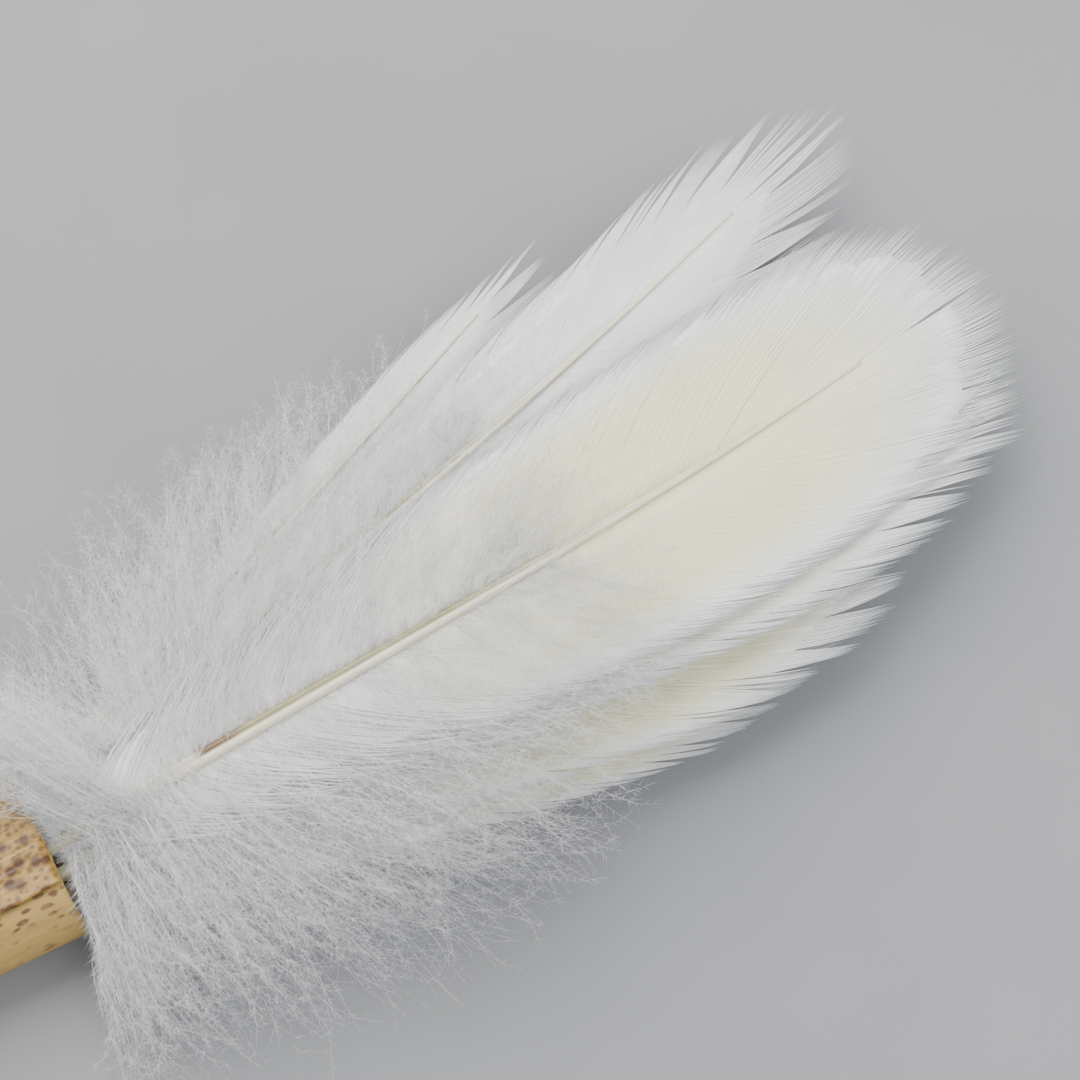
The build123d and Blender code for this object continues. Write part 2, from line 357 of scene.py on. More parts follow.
class Effects:
    """The effects that several finishes share, each a node group that is built once."""

    def __init__(self) -> None:
        """Builds the groups."""
        self.fibres = self._fibres()
        self.mottle = self._mottle()
        self.blotches = self._blotches()

    @staticmethod
    def _fibres() -> bpy.types.NodeTree:
        """Lengthwise fibres: noise on coordinates stretched along X, and its finer copy, added."""
        nodes, enter, leave = effect_group("fibres", {"Length": 25.0, "Fineness": 900.0}, ("Fibre", "Streak"))
        split = nodes.add("ShaderNodeSeparateXYZ")
        nodes.link(enter["Vector"], split.inputs[0])
        for out, share in (("Fibre", 1.0), ("Streak", 0.3)):
            join = nodes.add("ShaderNodeCombineXYZ")
            fine = nodes.math("MULTIPLY", enter["Fineness"], share)
            nodes.link(nodes.math("MULTIPLY", split.outputs[0], enter["Length"]), join.inputs[0])
            nodes.link(nodes.math("MULTIPLY", split.outputs[1], fine), join.inputs[1])
            nodes.link(nodes.math("MULTIPLY", split.outputs[2], fine), join.inputs[2])
            noise = nodes.add("ShaderNodeTexNoise", in_Scale=1.0, in_Detail=3.0, in_Roughness=0.6)
            nodes.link(join.outputs[0], noise.inputs["Vector"])
            nodes.link(noise.outputs["Fac"], leave[out])
        return nodes.tree

    @staticmethod
    def _mottle() -> bpy.types.NodeTree:
        """Soft uneven tone: one broad noise with some detail."""
        nodes, enter, leave = effect_group("mottle", {"Scale": 80.0}, ("Tone",))
        noise = nodes.add("ShaderNodeTexNoise", in_Detail=4.0, in_Roughness=0.55)
        nodes.link(enter["Vector"], noise.inputs["Vector"])
        nodes.link(enter["Scale"], noise.inputs["Scale"])
        nodes.link(noise.outputs["Fac"], leave["Tone"])
        return nodes.tree

    @staticmethod
    def _blotches() -> bpy.types.NodeTree:
        """Round soft blotches: smooth cell distance, bent by noise, cut at Size with soft edges."""
        inputs = {"Scale": 420.0, "Size": 0.42, "Softness": 0.14, "Stretch": 1.0}
        nodes, enter, leave = effect_group("blotches", inputs, ("Mask",))
        split, join = nodes.add("ShaderNodeSeparateXYZ"), nodes.add("ShaderNodeCombineXYZ")
        nodes.link(enter["Vector"], split.inputs[0])
        nodes.link(nodes.math("MULTIPLY", split.outputs[0], enter["Stretch"]), join.inputs[0])
        nodes.link(split.outputs[1], join.inputs[1])
        nodes.link(split.outputs[2], join.inputs[2])
        bend = nodes.add("ShaderNodeTexNoise", in_Scale=900.0, in_Detail=2.0)
        nodes.link(join.outputs[0], bend.inputs["Vector"])
        cells = nodes.add("ShaderNodeTexVoronoi", feature="SMOOTH_F1", in_Smoothness=0.35, in_Randomness=0.9)
        nodes.link(join.outputs[0], cells.inputs["Vector"])
        nodes.link(enter["Scale"], cells.inputs["Scale"])
        bent = nodes.math("ADD", cells.outputs["Distance"], nodes.math("MULTIPLY", bend.outputs["Fac"], 0.22))
        rise = nodes.math("DIVIDE", nodes.math("SUBTRACT", enter["Size"], bent), enter["Softness"])
        clip = nodes.add("ShaderNodeClamp")
        nodes.link(rise, clip.inputs["Value"])
        nodes.link(clip.outputs[0], leave["Mask"])
        return nodes.tree


class Finish:
    """A material under construction: its Principled shader, its coordinates and the shared effects."""

    def __init__(self, name: str, effects: Effects, roughness: float, **fixed: float) -> None:
        """Makes the material; fixed gives values that are the same all over, set on the shader's sockets."""
        self.material = bpy.data.materials.new(name)
        self.material.use_nodes = True
        self.nodes = Nodes(self.material.node_tree)
        self.effects = effects
        self.shader = self.material.node_tree.nodes["Principled BSDF"]
        self.shader.inputs["Roughness"].default_value = roughness
        for key, value in fixed.items():
            self.shader.inputs[key.replace("_", " ")].default_value = value
        self.place = self.nodes.add("ShaderNodeTexCoord").outputs["Object"]

    def effect(self, group: bpy.types.NodeTree, vector: object = None, **values: float) -> bpy.types.Node:
        """Places a shared effect with its own values."""
        node = self.nodes.add("ShaderNodeGroup", node_tree=group)
        self.nodes.link(vector or self.place, node.inputs["Vector"])
        for key, value in values.items():
            node.inputs[key].default_value = value
        return node

    def strand_place(self) -> tuple[bpy.types.NodeSocket, bpy.types.NodeSocket]:
        """The strand map's two shares: along the feather, and out from the shaft to the barb's end."""
        uv = self.nodes.add("ShaderNodeUVMap", uv_map=STRAND_MAP)
        split = self.nodes.add("ShaderNodeSeparateXYZ")
        self.nodes.link(uv.outputs[0], split.inputs[0])
        return split.outputs[0], split.outputs[1]

    def color(self, socket: bpy.types.NodeSocket) -> None:
        """Feeds the base colour."""
        self.nodes.link(socket, self.shader.inputs["Base Color"])

    def rough(self, factor: bpy.types.NodeSocket, low: float, high: float) -> None:
        """Feeds the roughness between two values by factor."""
        span = self.nodes.add("ShaderNodeMapRange", in_To_Min=low, in_To_Max=high)
        self.nodes.link(factor, span.inputs["Value"])
        self.nodes.link(span.outputs[0], self.shader.inputs["Roughness"])

    def bump(self, height: bpy.types.NodeSocket, depth: float, strength: float = 0.5) -> None:
        """Feeds the normal from a height, depth metres deep."""
        node = self.nodes.add("ShaderNodeBump", in_Strength=strength, in_Distance=depth)
        self.nodes.link(height, node.inputs["Height"])
        self.nodes.link(node.outputs[0], self.shader.inputs["Normal"])


@dataclass(frozen=True)
class FeatherFinishes:
    """The colours of a feather's parts, from the horny shaft to the cool, thin edge of the vane."""

    cream: tuple = (0.90, 0.865, 0.56)
    white: tuple = (0.89, 0.885, 0.87)
    cool_white: tuple = (0.84, 0.85, 0.85)
    thin_edge: tuple = (0.74, 0.77, 0.80)
    down_root: tuple = (0.95, 0.945, 0.945)
    down_tip: tuple = (0.93, 0.93, 0.945)
    ivory: tuple = (0.84, 0.81, 0.62)
    horn: tuple = (0.50, 0.47, 0.29)
    # the next two colours are painted shade: the darker strip along the shaft's left shoulder
    shaded_olive: tuple = (0.34, 0.31, 0.17)
    brown: tuple = (0.20, 0.12, 0.06)

    def vane(self, effects: Effects, name: str, middle_tone: tuple) -> bpy.types.Material:
        """Closed barbs: a tone over the vane's middle, white towards its base and sides, cool at the margin.

        Args:
            effects: the shared node groups.
            name: of the material.
            middle_tone: colour of the middle.

        Returns:
            The material.
        """
        f = Finish(name, effects, 0.6, Sheen_Weight=0.2, Sheen_Roughness=0.5, Specular_IOR_Level=0.3)
        along, out = f.strand_place()
        across = f.nodes.ramp(out, [(0.0, middle_tone), (0.5, middle_tone), (0.75, self.white),
                                    (1.0, self.thin_edge)])
        middle = f.nodes.ramp(along, [(0.3, BLACK), (0.55, WHITE), (0.78, (0.9,) * 3), (0.95, (0.2,) * 3)])
        edge = f.nodes.ramp(out, [(0.0, self.white), (0.75, self.white), (1.0, self.thin_edge)])
        base = f.nodes.mix(middle, edge, across)
        tone = f.effect(f.effects.mottle, Scale=120.0).outputs["Tone"]
        shade = f.nodes.ramp(tone, [(0.3, (0.90, 0.905, 0.91)), (0.7, WHITE)])
        f.color(f.nodes.mix(0.8, base, shade, "MULTIPLY"))
        f.rough(tone, 0.5, 0.7)
        return f.material

    def down(self, effects: Effects) -> bpy.types.Material:
        """Loose down: bright white at its root and a little cooler at its ends."""
        f = Finish("loose_down", effects, 0.75, Sheen_Weight=0.8, Sheen_Roughness=0.5, Specular_IOR_Level=0.2)
        _, out = f.strand_place()
        base = f.nodes.ramp(out, [(0.0, self.down_root), (0.55, self.down_root), (1.0, self.down_tip)])
        tone = f.effect(f.effects.mottle, Scale=90.0).outputs["Tone"]
        shade = f.nodes.ramp(tone, [(0.3, (0.95, 0.955, 0.96)), (0.7, WHITE)])
        f.color(f.nodes.mix(0.7, base, shade, "MULTIPLY"))
        return f.material

    def shaft(self, effects: Effects) -> bpy.types.Material:
        """Horn: ivory, with painted shade as a darker strip on its left shoulder, brown near the handle and
        then olive.
        """
        f = Finish("shaft_horn", effects, 0.35, Coat_Weight=0.15, Coat_Roughness=0.3)
        along, around = f.strand_place()
        # painted shade: a darker strip round the shaft's upper left shoulder, standing in for the side of the
        # shaft that lies in shade
        strip = f.nodes.ramp(around, [(0.48, BLACK), (0.53, WHITE), (0.68, WHITE), (0.78, BLACK)])
        bare = f.nodes.ramp(along, [(0.03, self.horn), (0.13, self.ivory)])
        # colours of the painted shade strip along the shaft: brown near the handle, then olive, fading back to
        # ivory towards the tip
        stops = [(0.03, self.horn), (0.145, self.ivory), (0.158, self.brown), (0.18, self.brown)]
        dark = f.nodes.ramp(along, [*stops, (0.2, self.shaded_olive), (0.4, self.shaded_olive), (0.6, self.ivory)])
        base = f.nodes.mix(strip, bare, dark)
        streak = f.effect(f.effects.fibres, Length=60.0, Fineness=2600.0).outputs["Fibre"]
        shade = f.nodes.ramp(streak, [(0.3, (0.84, 0.83, 0.78)), (0.7, WHITE)])
        f.color(f.nodes.mix(1.0, base, shade, "MULTIPLY"))
        f.bump(streak, 0.05 * MM, 0.4)
        return f.material

    def quill(self, effects: Effects) -> bpy.types.Material:
        """The bare quill in the handle: pale greenish horn with lengthwise streaks."""
        f = Finish("quill_horn", effects, 0.3, Coat_Weight=0.2, Coat_Roughness=0.25)
        streak = f.effect(f.effects.fibres, Length=80.0, Fineness=1800.0).outputs["Fibre"]
        f.color(f.nodes.ramp(streak, [(0.3, (0.55, 0.54, 0.36)), (0.7, (0.74, 0.73, 0.56))]))
        f.bump(streak, 0.04 * MM, 0.4)
        return f.material


@dataclass(frozen=True)
class HandleFinishes:
    """The colours of the handle's materials."""

    tan: tuple = (0.44, 0.26, 0.062)
    pale_tan: tuple = (0.48, 0.31, 0.085)
    spot: tuple = (0.08, 0.03, 0.01)
    dash: tuple = (0.12, 0.05, 0.018)
    cord: tuple = (0.085, 0.045, 0.024)

    def spotted(self, effects: Effects) -> bpy.types.Material:
        """Mottled bamboo sheath: golden tan with crowded dark blotches and fine lengthwise fibres."""
        f = Finish("spotted_sheath", effects, 0.42, Coat_Weight=0.06, Coat_Roughness=0.4)
        fibres = f.effect(f.effects.fibres, Length=30.0, Fineness=1100.0)
        tone = f.effect(f.effects.mottle, Scale=60.0).outputs["Tone"]
        dark_tan = tuple(c * 0.8 for c in self.tan)
        base = f.nodes.ramp(fibres.outputs["Streak"], [(0.3, dark_tan), (0.7, self.tan)])
        wide = f.effect(f.effects.blotches, Scale=520.0, Size=0.66, Softness=0.3, Stretch=0.85)
        small = f.effect(f.effects.blotches, Scale=1150.0, Size=0.6, Softness=0.22, Stretch=0.8)
        fainter = f.nodes.math("MULTIPLY", small.outputs["Mask"], 0.7)
        both = f.nodes.math("MAXIMUM", wide.outputs["Mask"], fainter)
        uneven = f.nodes.math("ADD", f.nodes.math("MULTIPLY", tone, 0.6), 0.65)
        strength = f.nodes.math("MULTIPLY", both, uneven)
        limit = f.nodes.add("ShaderNodeClamp")
        f.nodes.link(strength, limit.inputs["Value"])
        f.color(f.nodes.mix(limit.outputs[0], base, self.spot))
        f.rough(fibres.outputs["Fibre"], 0.3, 0.5)
        f.bump(fibres.outputs["Fibre"], 0.06 * MM, 0.5)
        return f.material

    def plain(self, effects: Effects) -> bpy.types.Material:
        """Inner bamboo sheath: lighter tan with lengthwise fibres and a few short dark dashes."""
        f = Finish("plain_sheath", effects, 0.45, Coat_Weight=0.08, Coat_Roughness=0.4)
        fibres = f.effect(f.effects.fibres, Length=30.0, Fineness=1300.0)
        base = f.nodes.ramp(fibres.outputs["Streak"], [(0.3, tuple(c * 0.75 for c in self.pale_tan)),
                                                       (0.7, self.pale_tan)])
        dashes = f.effect(f.effects.blotches, Scale=1100.0, Size=0.54, Softness=0.12, Stretch=0.4)
        dash = dashes.outputs["Mask"]
        tone = f.effect(f.effects.mottle, Scale=170.0).outputs["Tone"]
        crowd = f.nodes.ramp(tone, [(0.43, (0.05,) * 3), (0.56, (0.95,) * 3)])
        f.color(f.nodes.mix(f.nodes.math("MULTIPLY", dash, crowd), base, self.dash))
        f.rough(fibres.outputs["Fibre"], 0.38, 0.56)
        f.bump(fibres.outputs["Fibre"], 0.07 * MM, 0.5)
        return f.material

    def binding(self, effects: Effects) -> bpy.types.Material:
        """Twisted cord: dark brown, with fibres that run with the twist of each ply."""
        f = Finish("binding_cord", effects, 0.7, Sheen_Weight=0.3, Sheen_Roughness=0.5)
        uv = f.nodes.add("ShaderNodeUVMap", uv_map=STRAND_MAP)
        lay = f.nodes.add("ShaderNodeMapping")
        lay.inputs["Rotation"].default_value = (0.0, 0.0, math.radians(20))
        lay.inputs["Scale"].default_value = (160.0, 9.0, 1.0)
        f.nodes.link(uv.outputs[0], lay.inputs["Vector"])
        hair = f.nodes.add("ShaderNodeTexNoise", in_Scale=1.0, in_Detail=2.0)
        f.nodes.link(lay.outputs[0], hair.inputs["Vector"])
        light = tuple(c * 2.1 for c in self.cord)
        f.color(f.nodes.ramp(hair.outputs["Fac"], [(0.35, self.cord), (0.7, light)]))
        f.bump(hair.outputs["Fac"], 0.05 * MM, 0.6)
        return f.material

    def thread(self, effects: Effects) -> bpy.types.Material:
        """Thread wound round the quills: pale, with close turns across the handle."""
        f = Finish("quill_thread", effects, 0.8, Sheen_Weight=0.2)
        wave = f.nodes.add("ShaderNodeTexWave", bands_direction="X", in_Scale=700.0, in_Distortion=0.4)
        f.nodes.link(f.place, wave.inputs["Vector"])
        f.color(f.nodes.ramp(wave.outputs["Fac"], [(0.2, (0.42, 0.36, 0.26)), (0.8, (0.72, 0.66, 0.52))]))
        f.bump(wave.outputs["Fac"], 0.15 * MM, 0.8)
        return f.material

    def paper(self, effects: Effects) -> bpy.types.Material:
        """Folded soft paper: off-white with long fibres and soft layers."""
        f = Finish("packing_paper", effects, 0.9)
        fibres = f.effect(f.effects.fibres, Length=260.0, Fineness=900.0)
        stops = [(0.3, (0.52, 0.47, 0.37)), (0.7, (0.76, 0.72, 0.62))]
        f.color(f.nodes.ramp(fibres.outputs["Streak"], stops))
        f.bump(fibres.outputs["Streak"], 0.25 * MM, 0.7)
        return f.material

    def wood(self, effects: Effects) -> bpy.types.Material:
        """Core wood: growth rings round an axis beside the handle's, and pores, on end grain and along."""
        f = Finish("core_wood", effects, 0.6)
        shift = f.nodes.add("ShaderNodeMapping", vector_type="POINT")
        shift.inputs["Location"].default_value = (0.0, 0.004, 0.009)
        shift.inputs["Scale"].default_value = (0.04, 1.0, 1.0)
        f.nodes.link(f.place, shift.inputs["Vector"])
        rings = f.nodes.add("ShaderNodeTexWave", wave_type="RINGS", rings_direction="X", in_Scale=210.0,
                            in_Distortion=1.6, in_Detail=2.0)
        f.nodes.link(shift.outputs[0], rings.inputs["Vector"])
        pores = f.effect(f.effects.fibres, Length=120.0, Fineness=2600.0).outputs["Fibre"]
        base = f.nodes.ramp(rings.outputs["Fac"], [(0.2, (0.40, 0.24, 0.11)), (0.8, (0.62, 0.43, 0.24))])
        dark = f.nodes.ramp(pores, [(0.36, (0.6, 0.55, 0.5)), (0.5, WHITE)])
        f.color(f.nodes.mix(0.8, base, dark, "MULTIPLY"))
        f.bump(pores, 0.08 * MM, 0.6)
        return f.material


# ---------------------------------------------------------------------------------------------------------
# Feathers


@dataclass(frozen=True)
class Arch:
    """The long arch that all feather layers share, and the heights of the layers over the floor.

    rise is how far the middle layer stands above its quill, and spacing how far apart the layers are, both at
    distances from the mouth. Every layer also turns about a lengthwise axis that lies axis_depth below the
    floor.
    """

    mouth: float
    middle_height: float
    quill_spacing: float
    middle_layer: float = 3.0
    axis_depth: float = 260.0 * MM
    distances: tuple = (0.0, 10.0 * MM, 30.0 * MM, 55.0 * MM, 80.0 * MM, 110.0 * MM, 155.0 * MM)
    rise: tuple = (0.0, 1.6 * MM, 4.6 * MM, 6.6 * MM, 6.2 * MM, 4.2 * MM, 0.6 * MM)
    spacing: tuple = (1.9 * MM, 2.5 * MM, 2.8 * MM, 2.4 * MM, 1.6 * MM, 0.8 * MM)

    def height(self, x: Array, y: Array, layer: int) -> Array:
        """Height of a layer: the root of its radius about the axis squared less y squared, less the depth.

        Args:
            x: position along the brush.
            y: position across the brush.
            layer: counted from the bottom.

        Returns:
            Height over the floor.
        """
        out = x - self.mouth
        rise = through_points(self.distances, self.rise, out)
        spacing = through_points(self.distances, (self.quill_spacing, *self.spacing), out)
        radius = self.axis_depth + self.middle_height + rise + (layer - self.middle_layer) * spacing
        return np.sqrt(radius**2 - y**2) - self.axis_depth


@dataclass(frozen=True)
class MouthGuard:
    """Keeps down out of the handle: near the mouth it runs along the mouth's face, round it or over it."""

    mouth: float
    half_width: float
    thickness: float
    gap: float = 0.8 * MM
    soft: float = 4.0 * MM

    def push(self, points: Array) -> Array:
        """Moves points forward by as much as they are behind the handle's face, fading beside and above it.

        Args:
            points: shape (..., 3).

        Returns:
            The moved points.
        """
        x, y, z = points[..., 0], points[..., 1], points[..., 2]
        behind = np.maximum(self.mouth + self.gap - x, 0.0)
        beside = smooth_step(np.abs(y), self.half_width + self.gap, self.half_width + self.gap + self.soft)
        above = smooth_step(z, self.thickness + self.gap, self.thickness + self.gap + self.soft / 3)
        moved = points.copy()
        moved[..., 0] = x + behind * (1 - beside) * (1 - above)
        return moved


def keep_off_floor(z: Array, start: float = 2.6 * MM) -> Array:
    """Bends heights below start back up: c + (start - c) e^((z - start) / (start - c)), never under c."""
    room = start - FLOOR_CLEARANCE
    return np.where(z < start, FLOOR_CLEARANCE + room * np.exp((np.minimum(z, start) - start) / room), z)


def keep_low(z: Array, start: float = 23.5 * MM, room: float = 6.0 * MM) -> Array:
    """Bends heights above start back down: start + room (1 - e^(-(z - start) / room))."""
    return np.where(z > start, start + room * (1 - np.exp(-(np.maximum(z, start) - start) / room)), z)


def group_middles(v: Array, rng: np.random.Generator, smallest: int, largest: int) -> tuple[Array, Array]:
    """Groups neighbouring values at random.

    Args:
        v: rising values.
        rng: source of random sizes.
        smallest: fewest values in a group.
        largest: most values in a group.

    Returns:
        The number of each value's group, and the mean of that group's values.
    """
    group = np.repeat(np.arange(len(v)), rng.integers(smallest, largest + 1, len(v)))[: len(v)]
    return group, (np.bincount(group, v) / np.bincount(group))[group]


@dataclass(frozen=True)
class Feather:
    """One feather: its shaft, the closed vane on both sides, and the loose down below it.

    yaw turns it to the brush's left. The shares are of its length. A vane's margin runs along the side from
    margin_start to shoulder and then round the tip, as a superellipse whose power is roundness. frayed says how
    far the barbs part into clumps, from 0 to about 1.5, and cool that its middle is white rather than cream.
    """

    name: str
    layer: int
    yaw: float
    length: float
    right_width: float
    left_width: float
    plumage: Plumage
    down_length: float
    roundness: float = 2.8
    bow: float = 1.2 * MM
    frayed: float = 0.5
    splits: int = 3
    rolled: bool = False
    cool: bool = False
    rachis_end: float = 0.85
    seed: int = 1
    camber: float = 1.6 * MM
    vane_start: float = 0.035
    vane_end: float = 0.77
    margin_start: float = 0.13
    shoulder: float = 0.74
    down_end: float = 0.5
    bulge: float = 0.13
    barb_width: float = 0.26 * MM
    barb_height: float = 0.03 * MM
    shingle: float = 1.0
    barb_rings: int = 10
    strand_rings: int = 10
    strand_radius: float = 0.032 * MM
    barbule_radius: float = 0.02 * MM
    rachis_width: float = 1.05 * MM

    def root(self) -> tuple[float, float]:
        """Where the quill leaves the mouth across the brush, and its height, from the quill's solid."""
        low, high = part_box(f"{self.name}_feather_quill")
        return (low.y + high.y) / 2, (low.z + high.z) / 2

    def place(self, arch: Arch, s: Array, t: Array, lift: Array) -> Array:
        """Points in the frame from places in the feather's plan.

        The shaft bows to the right by bow * sin(pi s / length), the plan turns by yaw about the root, and the
        height is the layer's, less camber * (t / width)^2, plus lift.

        Args:
            arch: heights of the layers.
            s: along the shaft.
            t: to its left.
            lift: over the layer.

        Returns:
            Points, with one more axis of length 3.
        """
        yaw = math.radians(self.yaw)
        bowed = t - self.bow * np.sin(np.pi * np.clip(s / self.length, 0.0, 1.0))
        x = arch.mouth + s * math.cos(yaw) - bowed * math.sin(yaw)
        y = self.root()[0] + s * math.sin(yaw) + bowed * math.cos(yaw)
        width = max(self.right_width, self.left_width)
        share = np.minimum(np.abs(t) / width, 1.6)
        z = arch.height(x, y, self.layer) - self.camber * share**2 + lift
        return np.stack([x, y, keep_off_floor(z)], axis=-1)

    def margin(self, side: Side, v: Array) -> tuple[Array, Array]:
        """The outer ends of the barbs, evenly spaced round the vane's margin.

        Args:
            side: of the shaft.
            v: 0 at the lowest barb, 1 at the tip.

        Returns:
            s and t of the ends.
        """
        width = self.left_width if side is Side.LEFT else self.right_width
        s_side = np.linspace(self.margin_start, self.shoulder, 90)
        stations = (self.margin_start, 0.2, 0.36, 0.5, 0.62, self.shoulder)
        t_side = through_points(stations, (0.5, 0.6, 0.74, 0.88, 0.97, 1.0), s_side)
        angle = np.linspace(0.0, np.pi / 2, 400)[1:]
        s_tip = self.shoulder + (1 - self.shoulder) * np.sin(angle) ** (2 / self.roundness)
        t_tip = np.abs(np.cos(angle)) ** (2 / self.roundness)
        s = np.concatenate([s_side, s_tip]) * self.length
        t = np.concatenate([t_side, t_tip]) * width
        run = np.concatenate([[0.0], np.cumsum(np.hypot(np.diff(s), np.diff(t)))])
        at = np.clip(v, 0.0, 1.0) * run[-1]
        return np.interp(at, run, s), side.value * np.interp(at, run, t)

    def vane_point(self, side: Side, v: Array, u: Array) -> tuple[Array, Array]:
        """A place on a vane: each barb is a parabola from the shaft to the margin, bulged back and outwards.

        The bulge outwards fades towards the tip, where the two sides' last barbs lie side by side.

        Args:
            side: of the shaft.
            v: which barb, from 0 to 1.
            u: 0 at the shaft, 1 at the margin.

        Returns:
            s and t.
        """
        root = self.length * (self.vane_start + (self.vane_end - self.vane_start) * np.clip(v, 0.0, 1.0))
        end_s, end_t = self.margin(side, v)
        run, out = end_s - root, end_t
        middle_s = root + run / 2 - self.bulge * np.abs(out)
        middle_t = out / 2 + side.value * self.bulge * run * (1 - smooth_step(v, 0.7, 1.0))
        first, second, third = (1 - u) ** 2, 2 * u * (1 - u), u**2
        return first * root + second * middle_s + third * end_s, second * middle_t + third * out

    def split_shift(self, splits: Array, v: Array, u: Array) -> Array:
        """How far barbs beside a split move away from it: gap * e^(-|v - split| / reach), growing with u.

        Args:
            splits: where the vane is split, as shares of v.
            v: which barb.
            u: share along the barb.

        Returns:
            What to add to v.
        """
        away = v[..., None] - splits
        push = np.sign(away) * np.exp(-np.abs(away) / 0.03)
        return (0.0015 + 0.006 * self.frayed) * push.sum(axis=-1) * smooth_step(u, 0.45, 1.0)

    def looseness(self, v: Array) -> Array:
        """How loose the barbs are: 1 at the base, where the vane turns into down, and 0 from a third up."""
        return 1 - smooth_step(v, 0.12, 0.42)

    def add_vane(self, made: MeshBuilder, arch: Arch, side: Side, rng: np.random.Generator) -> None:
        """Adds one side's barbs, and the web of hooked barbules that closes the vane between them.

        Args:
            made: mesh that takes them.
            arch: heights of the layers.
            side: of the shaft.
            rng: source of random values.
        """
        n, m = self.plumage.value[0], self.barb_rings
        v = (np.arange(n) + 0.5) / n
        splits = np.sort(rng.uniform(0.3, 0.9, self.splits))
        group, middle = group_middles(v, rng, 3, 22)
        loose = self.looseness(v)
        reach = 1.0 + rng.normal(0, 0.015, n) - 0.05 * rng.random(n) ** 2
        reach = reach + (0.012 + 0.02 * self.frayed) * rng.normal(0, 1, n)[group]
        reach = np.minimum(reach + 0.12 * loose * rng.random(n), 1.12)
        u = np.linspace(0.0, 1.0, m)[None] * reach[:, None]
        pull = np.clip((0.12 + 0.55 * self.frayed) * rng.uniform(0.0, 1.7, n)[group], 0.0, 0.92)
        close = v[:, None] + ((middle - v) * pull)[:, None] * smooth_step(u, 0.75 - 0.2 * self.frayed, 1.05)
        flow = 0.003 * np.sin(2 * np.pi * (2.6 * v[:, None] + 1.2 * u) + rng.uniform(0, 6.3))
        stray = (0.0006 + 0.008 * loose)[:, None] * np.sin(
            2 * np.pi * (rng.uniform(0.6, 1.6, n)[:, None] * u + rng.random(n)[:, None])
        )
        bent = close + (flow + stray) * u + self.split_shift(splits, v[:, None], u)
        s, t = self.vane_point(side, bent, u)
        edge = smooth_step(u, 0.72, 1.05)
        lift = (rng.normal(0, 0.004 * MM, n) + 0.13 * MM)[:, None]
        lift = lift + (rng.normal(0, 0.2 * MM, n)[group] + rng.normal(0, 0.1 * MM, n))[:, None] * edge
        lift = lift + (rng.normal(0, 0.8 * MM, n) * loose)[:, None] * u**2
        s, t, lift = self.roll_edge(side, v[:, None], u, s, t, lift)
        path = self.place(arch, s, t, lift)
        ahead = self.place(arch, *self.vane_point(side, bent + 0.004, u), lift)
        tilt = math.radians(self.shingle)
        across = unit(ahead - path) * math.cos(tilt) + np.array([0.0, 0.0, math.sin(tilt)])
        share = np.linspace(0.0, 1.0, m)[None]
        taper = (1 - 0.5 * share) * np.clip((1 - share) / 0.16, 0.04, 1.0) ** 0.8
        taper = taper * (1 - 0.6 * loose[:, None] * share) * (1 - 0.55 * min(self.frayed, 1.0) * share)
        uv = np.stack([s / self.length, np.clip(u, 0.0, 1.0)], axis=-1)
        width = self.barb_width * (1 - 0.3 * self.frayed)
        made.add_strands(path, across, width * taper, self.barb_height * taper, uv, 4)
        self.add_web(made, arch, side, splits, rng)

    def roll_edge(
        self, side: Side, v: Array, u: Array, s: Array, t: Array, lift: Array
    ) -> tuple[Array, Array, Array]:
        """Rolls a vane's left margin under, round a part of a tube, over part of its length, if it is rolled.

        Beyond the share start the way along the barb is an angle round the tube: t grows by the tube's radius
        times its sine, and the height falls by the radius times one less its cosine.

        Args:
            side: of the shaft.
            v: which barb.
            u: share along the barb.
            s: places along the shaft.
            t: places to its left.
            lift: heights over the layer.

        Returns:
            s, t and lift after the roll.
        """
        if not self.rolled or side is Side.RIGHT:
            return s, t, lift
        start, turn = 0.45, 1.5
        strength = smooth_step(v, 0.34, 0.46) * (1 - smooth_step(v, 0.66, 0.78))
        over = np.clip(u - start, 0.0, None) * self.left_width
        radius = (1 - start) * self.left_width / turn
        at_start = self.vane_point(side, v, np.full_like(u, start))[1]
        rolled_t = at_start + radius * np.sin(over / radius)
        rolled = np.where(u > start, rolled_t, t)
        return s, t + strength * (rolled - t), lift - strength * radius * (1 - np.cos(over / radius))

    def add_web(
        self, made: MeshBuilder, arch: Arch, side: Side, splits: Array, rng: np.random.Generator
    ) -> None:
        """Adds the closed web between the barbs as thin sheets, one between each two splits.

        A sheet is the vane's own surface from the shaft to a ragged line inside the margin. Its lower face is
        the same surface a barb's height further down.

        Args:
            made: mesh that takes them.
            arch: heights of the layers.
            side: of the shaft.
            splits: where the vane is split, as shares of v.
            rng: source of random values.
        """
        edges = np.concatenate([[0.0], splits, [1.0]])
        phase = rng.uniform(0, 6.3, 3)
        for low, high in zip(edges[:-1], edges[1:]):
            rows = max(int((high - low) * 115), 3)
            v = np.linspace(low + 0.001, high - 0.001, rows)
            ragged = 0.86 - 0.26 * self.frayed + 0.03 * np.sin(61 * v + phase[0]) * np.sin(23 * v + phase[1])
            ragged = (ragged + rng.normal(0, 0.018, rows)) * (1 - 0.35 * self.looseness(v))
            beside = 0.05 + 0.1 * self.frayed
            ragged = ragged - beside * (np.exp(-(v - low) / 0.006) + np.exp(-(high - v) / 0.006))
            u = np.linspace(0.0, 1.0, 12)[None] * ragged[:, None]
            flow = 0.003 * np.sin(2 * np.pi * (2.6 * v[:, None] + 1.2 * u) + phase[2]) * u
            bent = v[:, None] + flow + self.split_shift(splits, v[:, None], u)
            s, t = self.vane_point(side, bent, u)
            s, t, lift = self.roll_edge(side, v[:, None], u, s, t, np.full_like(s, 0.13 * MM))
